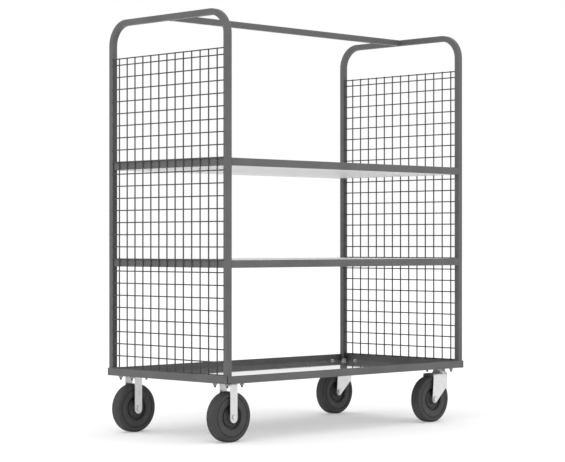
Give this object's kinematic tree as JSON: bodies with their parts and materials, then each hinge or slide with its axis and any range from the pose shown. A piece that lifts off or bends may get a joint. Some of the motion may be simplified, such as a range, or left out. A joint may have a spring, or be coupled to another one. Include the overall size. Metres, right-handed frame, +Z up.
{
  "type": "roll cage container",
  "caption": "Shelf trolley with two wire mesh ends, a deck, two shelves and a top tie bar, on two fixed and two swivel castors.",
  "frame": {"origin": "on the floor, under the centre of the trolley's bounding box", "axes": "+X along the trolley towards the swivel castors, +Y across it towards the back side, +Z up"},
  "size_m": [1.4398, 0.7336, 1.7055],
  "materials": {
    "frame_paint": "dark grey powder coat, satin",
    "wire_mesh": "dark grey powder coated welded wire",
    "shelf_board": "light grey laminated board, smooth satin",
    "deck_sheet": "bright galvanised sheet, reflective",
    "zinc": "bright zinc plated pressed steel",
    "dark_steel": "dull grey steel hardware",
    "wheel_centre": "dark grey moulded wheel centre",
    "tyre": "dark grey solid rubber",
    "bush": "grey nylon plain bush"
  },
  "bodies": {
    "cage": {"left_hoop": "frame_paint", "right_hoop": "frame_paint", "top_tie_bar": "frame_paint", "left_mesh": "wire_mesh", "right_mesh": "wire_mesh", "base_rail_front": "frame_paint", "base_rail_back": "frame_paint", "base_rail_left": "frame_paint", "base_rail_right": "frame_paint", "lower_shelf_frame": "frame_paint", "upper_shelf_frame": "frame_paint", "base_deck": "deck_sheet", "lower_shelf_board": "shelf_board", "upper_shelf_board": "shelf_board", "castor_fork_front_left": "zinc", "axle_bolt_front_left": "zinc", "axle_nut_front_left": "zinc", "plate_bolt_front_left_1": "dark_steel", "plate_bolt_front_left_2": "dark_steel", "plate_bolt_front_left_3": "dark_steel", "plate_bolt_front_left_4": "dark_steel", "castor_fork_back_left": "zinc", "axle_bolt_back_left": "zinc", "axle_nut_back_left": "zinc", "plate_bolt_back_left_1": "dark_steel", "plate_bolt_back_left_2": "dark_steel", "plate_bolt_back_left_3": "dark_steel", "plate_bolt_back_left_4": "dark_steel", "castor_plate_front_right": "zinc", "ball_race_front_right": "dark_steel", "king_pin_front_right": "dark_steel", "plate_bolt_front_right_1": "dark_steel", "plate_bolt_front_right_2": "dark_steel", "plate_bolt_front_right_3": "dark_steel", "plate_bolt_front_right_4": "dark_steel", "castor_plate_back_right": "zinc", "ball_race_back_right": "dark_steel", "king_pin_back_right": "dark_steel", "plate_bolt_back_right_1": "dark_steel", "plate_bolt_back_right_2": "dark_steel", "plate_bolt_back_right_3": "dark_steel", "plate_bolt_back_right_4": "dark_steel"},
    "wheel_front_left": {"wheel_core_front_left": "wheel_centre", "tyre_front_left": "tyre", "wheel_bush_front_left": "bush"},
    "wheel_back_left": {"wheel_core_back_left": "wheel_centre", "tyre_back_left": "tyre", "wheel_bush_back_left": "bush"},
    "swivel_front_right": {"castor_fork_front_right": "zinc", "axle_bolt_front_right": "zinc", "axle_nut_front_right": "zinc"},
    "wheel_front_right": {"wheel_core_front_right": "wheel_centre", "tyre_front_right": "tyre", "wheel_bush_front_right": "bush"},
    "swivel_back_right": {"castor_fork_back_right": "zinc", "axle_bolt_back_right": "zinc", "axle_nut_back_right": "zinc"},
    "wheel_back_right": {"wheel_core_back_right": "wheel_centre", "tyre_back_right": "tyre", "wheel_bush_back_right": "bush"}
  },
  "joints": [
    {"name": "wheel_spin_front_left", "type": "hinge", "parent": "cage", "child": "wheel_front_left", "pos_m": [-0.6199, -0.291, 0.1], "axis": [0, 1, 0], "continuous": true},
    {"name": "wheel_spin_back_left", "type": "hinge", "parent": "cage", "child": "wheel_back_left", "pos_m": [-0.6199, 0.291, 0.1], "axis": [0, 1, 0], "continuous": true},
    {"name": "castor_swivel_front_right", "type": "hinge", "parent": "cage", "child": "swivel_front_right", "pos_m": [0.6441, -0.291, 0.22], "axis": [0, 0, 1], "continuous": true},
    {"name": "wheel_spin_front_right", "type": "hinge", "parent": "swivel_front_right", "child": "wheel_front_right", "pos_m": [0.5801, -0.291, 0.1], "axis": [0, 1, 0], "continuous": true},
    {"name": "castor_swivel_back_right", "type": "hinge", "parent": "cage", "child": "swivel_back_right", "pos_m": [0.6441, 0.291, 0.22], "axis": [0, 0, 1], "continuous": true},
    {"name": "wheel_spin_back_right", "type": "hinge", "parent": "swivel_back_right", "child": "wheel_back_right", "pos_m": [0.5801, 0.291, 0.1], "axis": [0, 1, 0], "continuous": true}
  ]
}
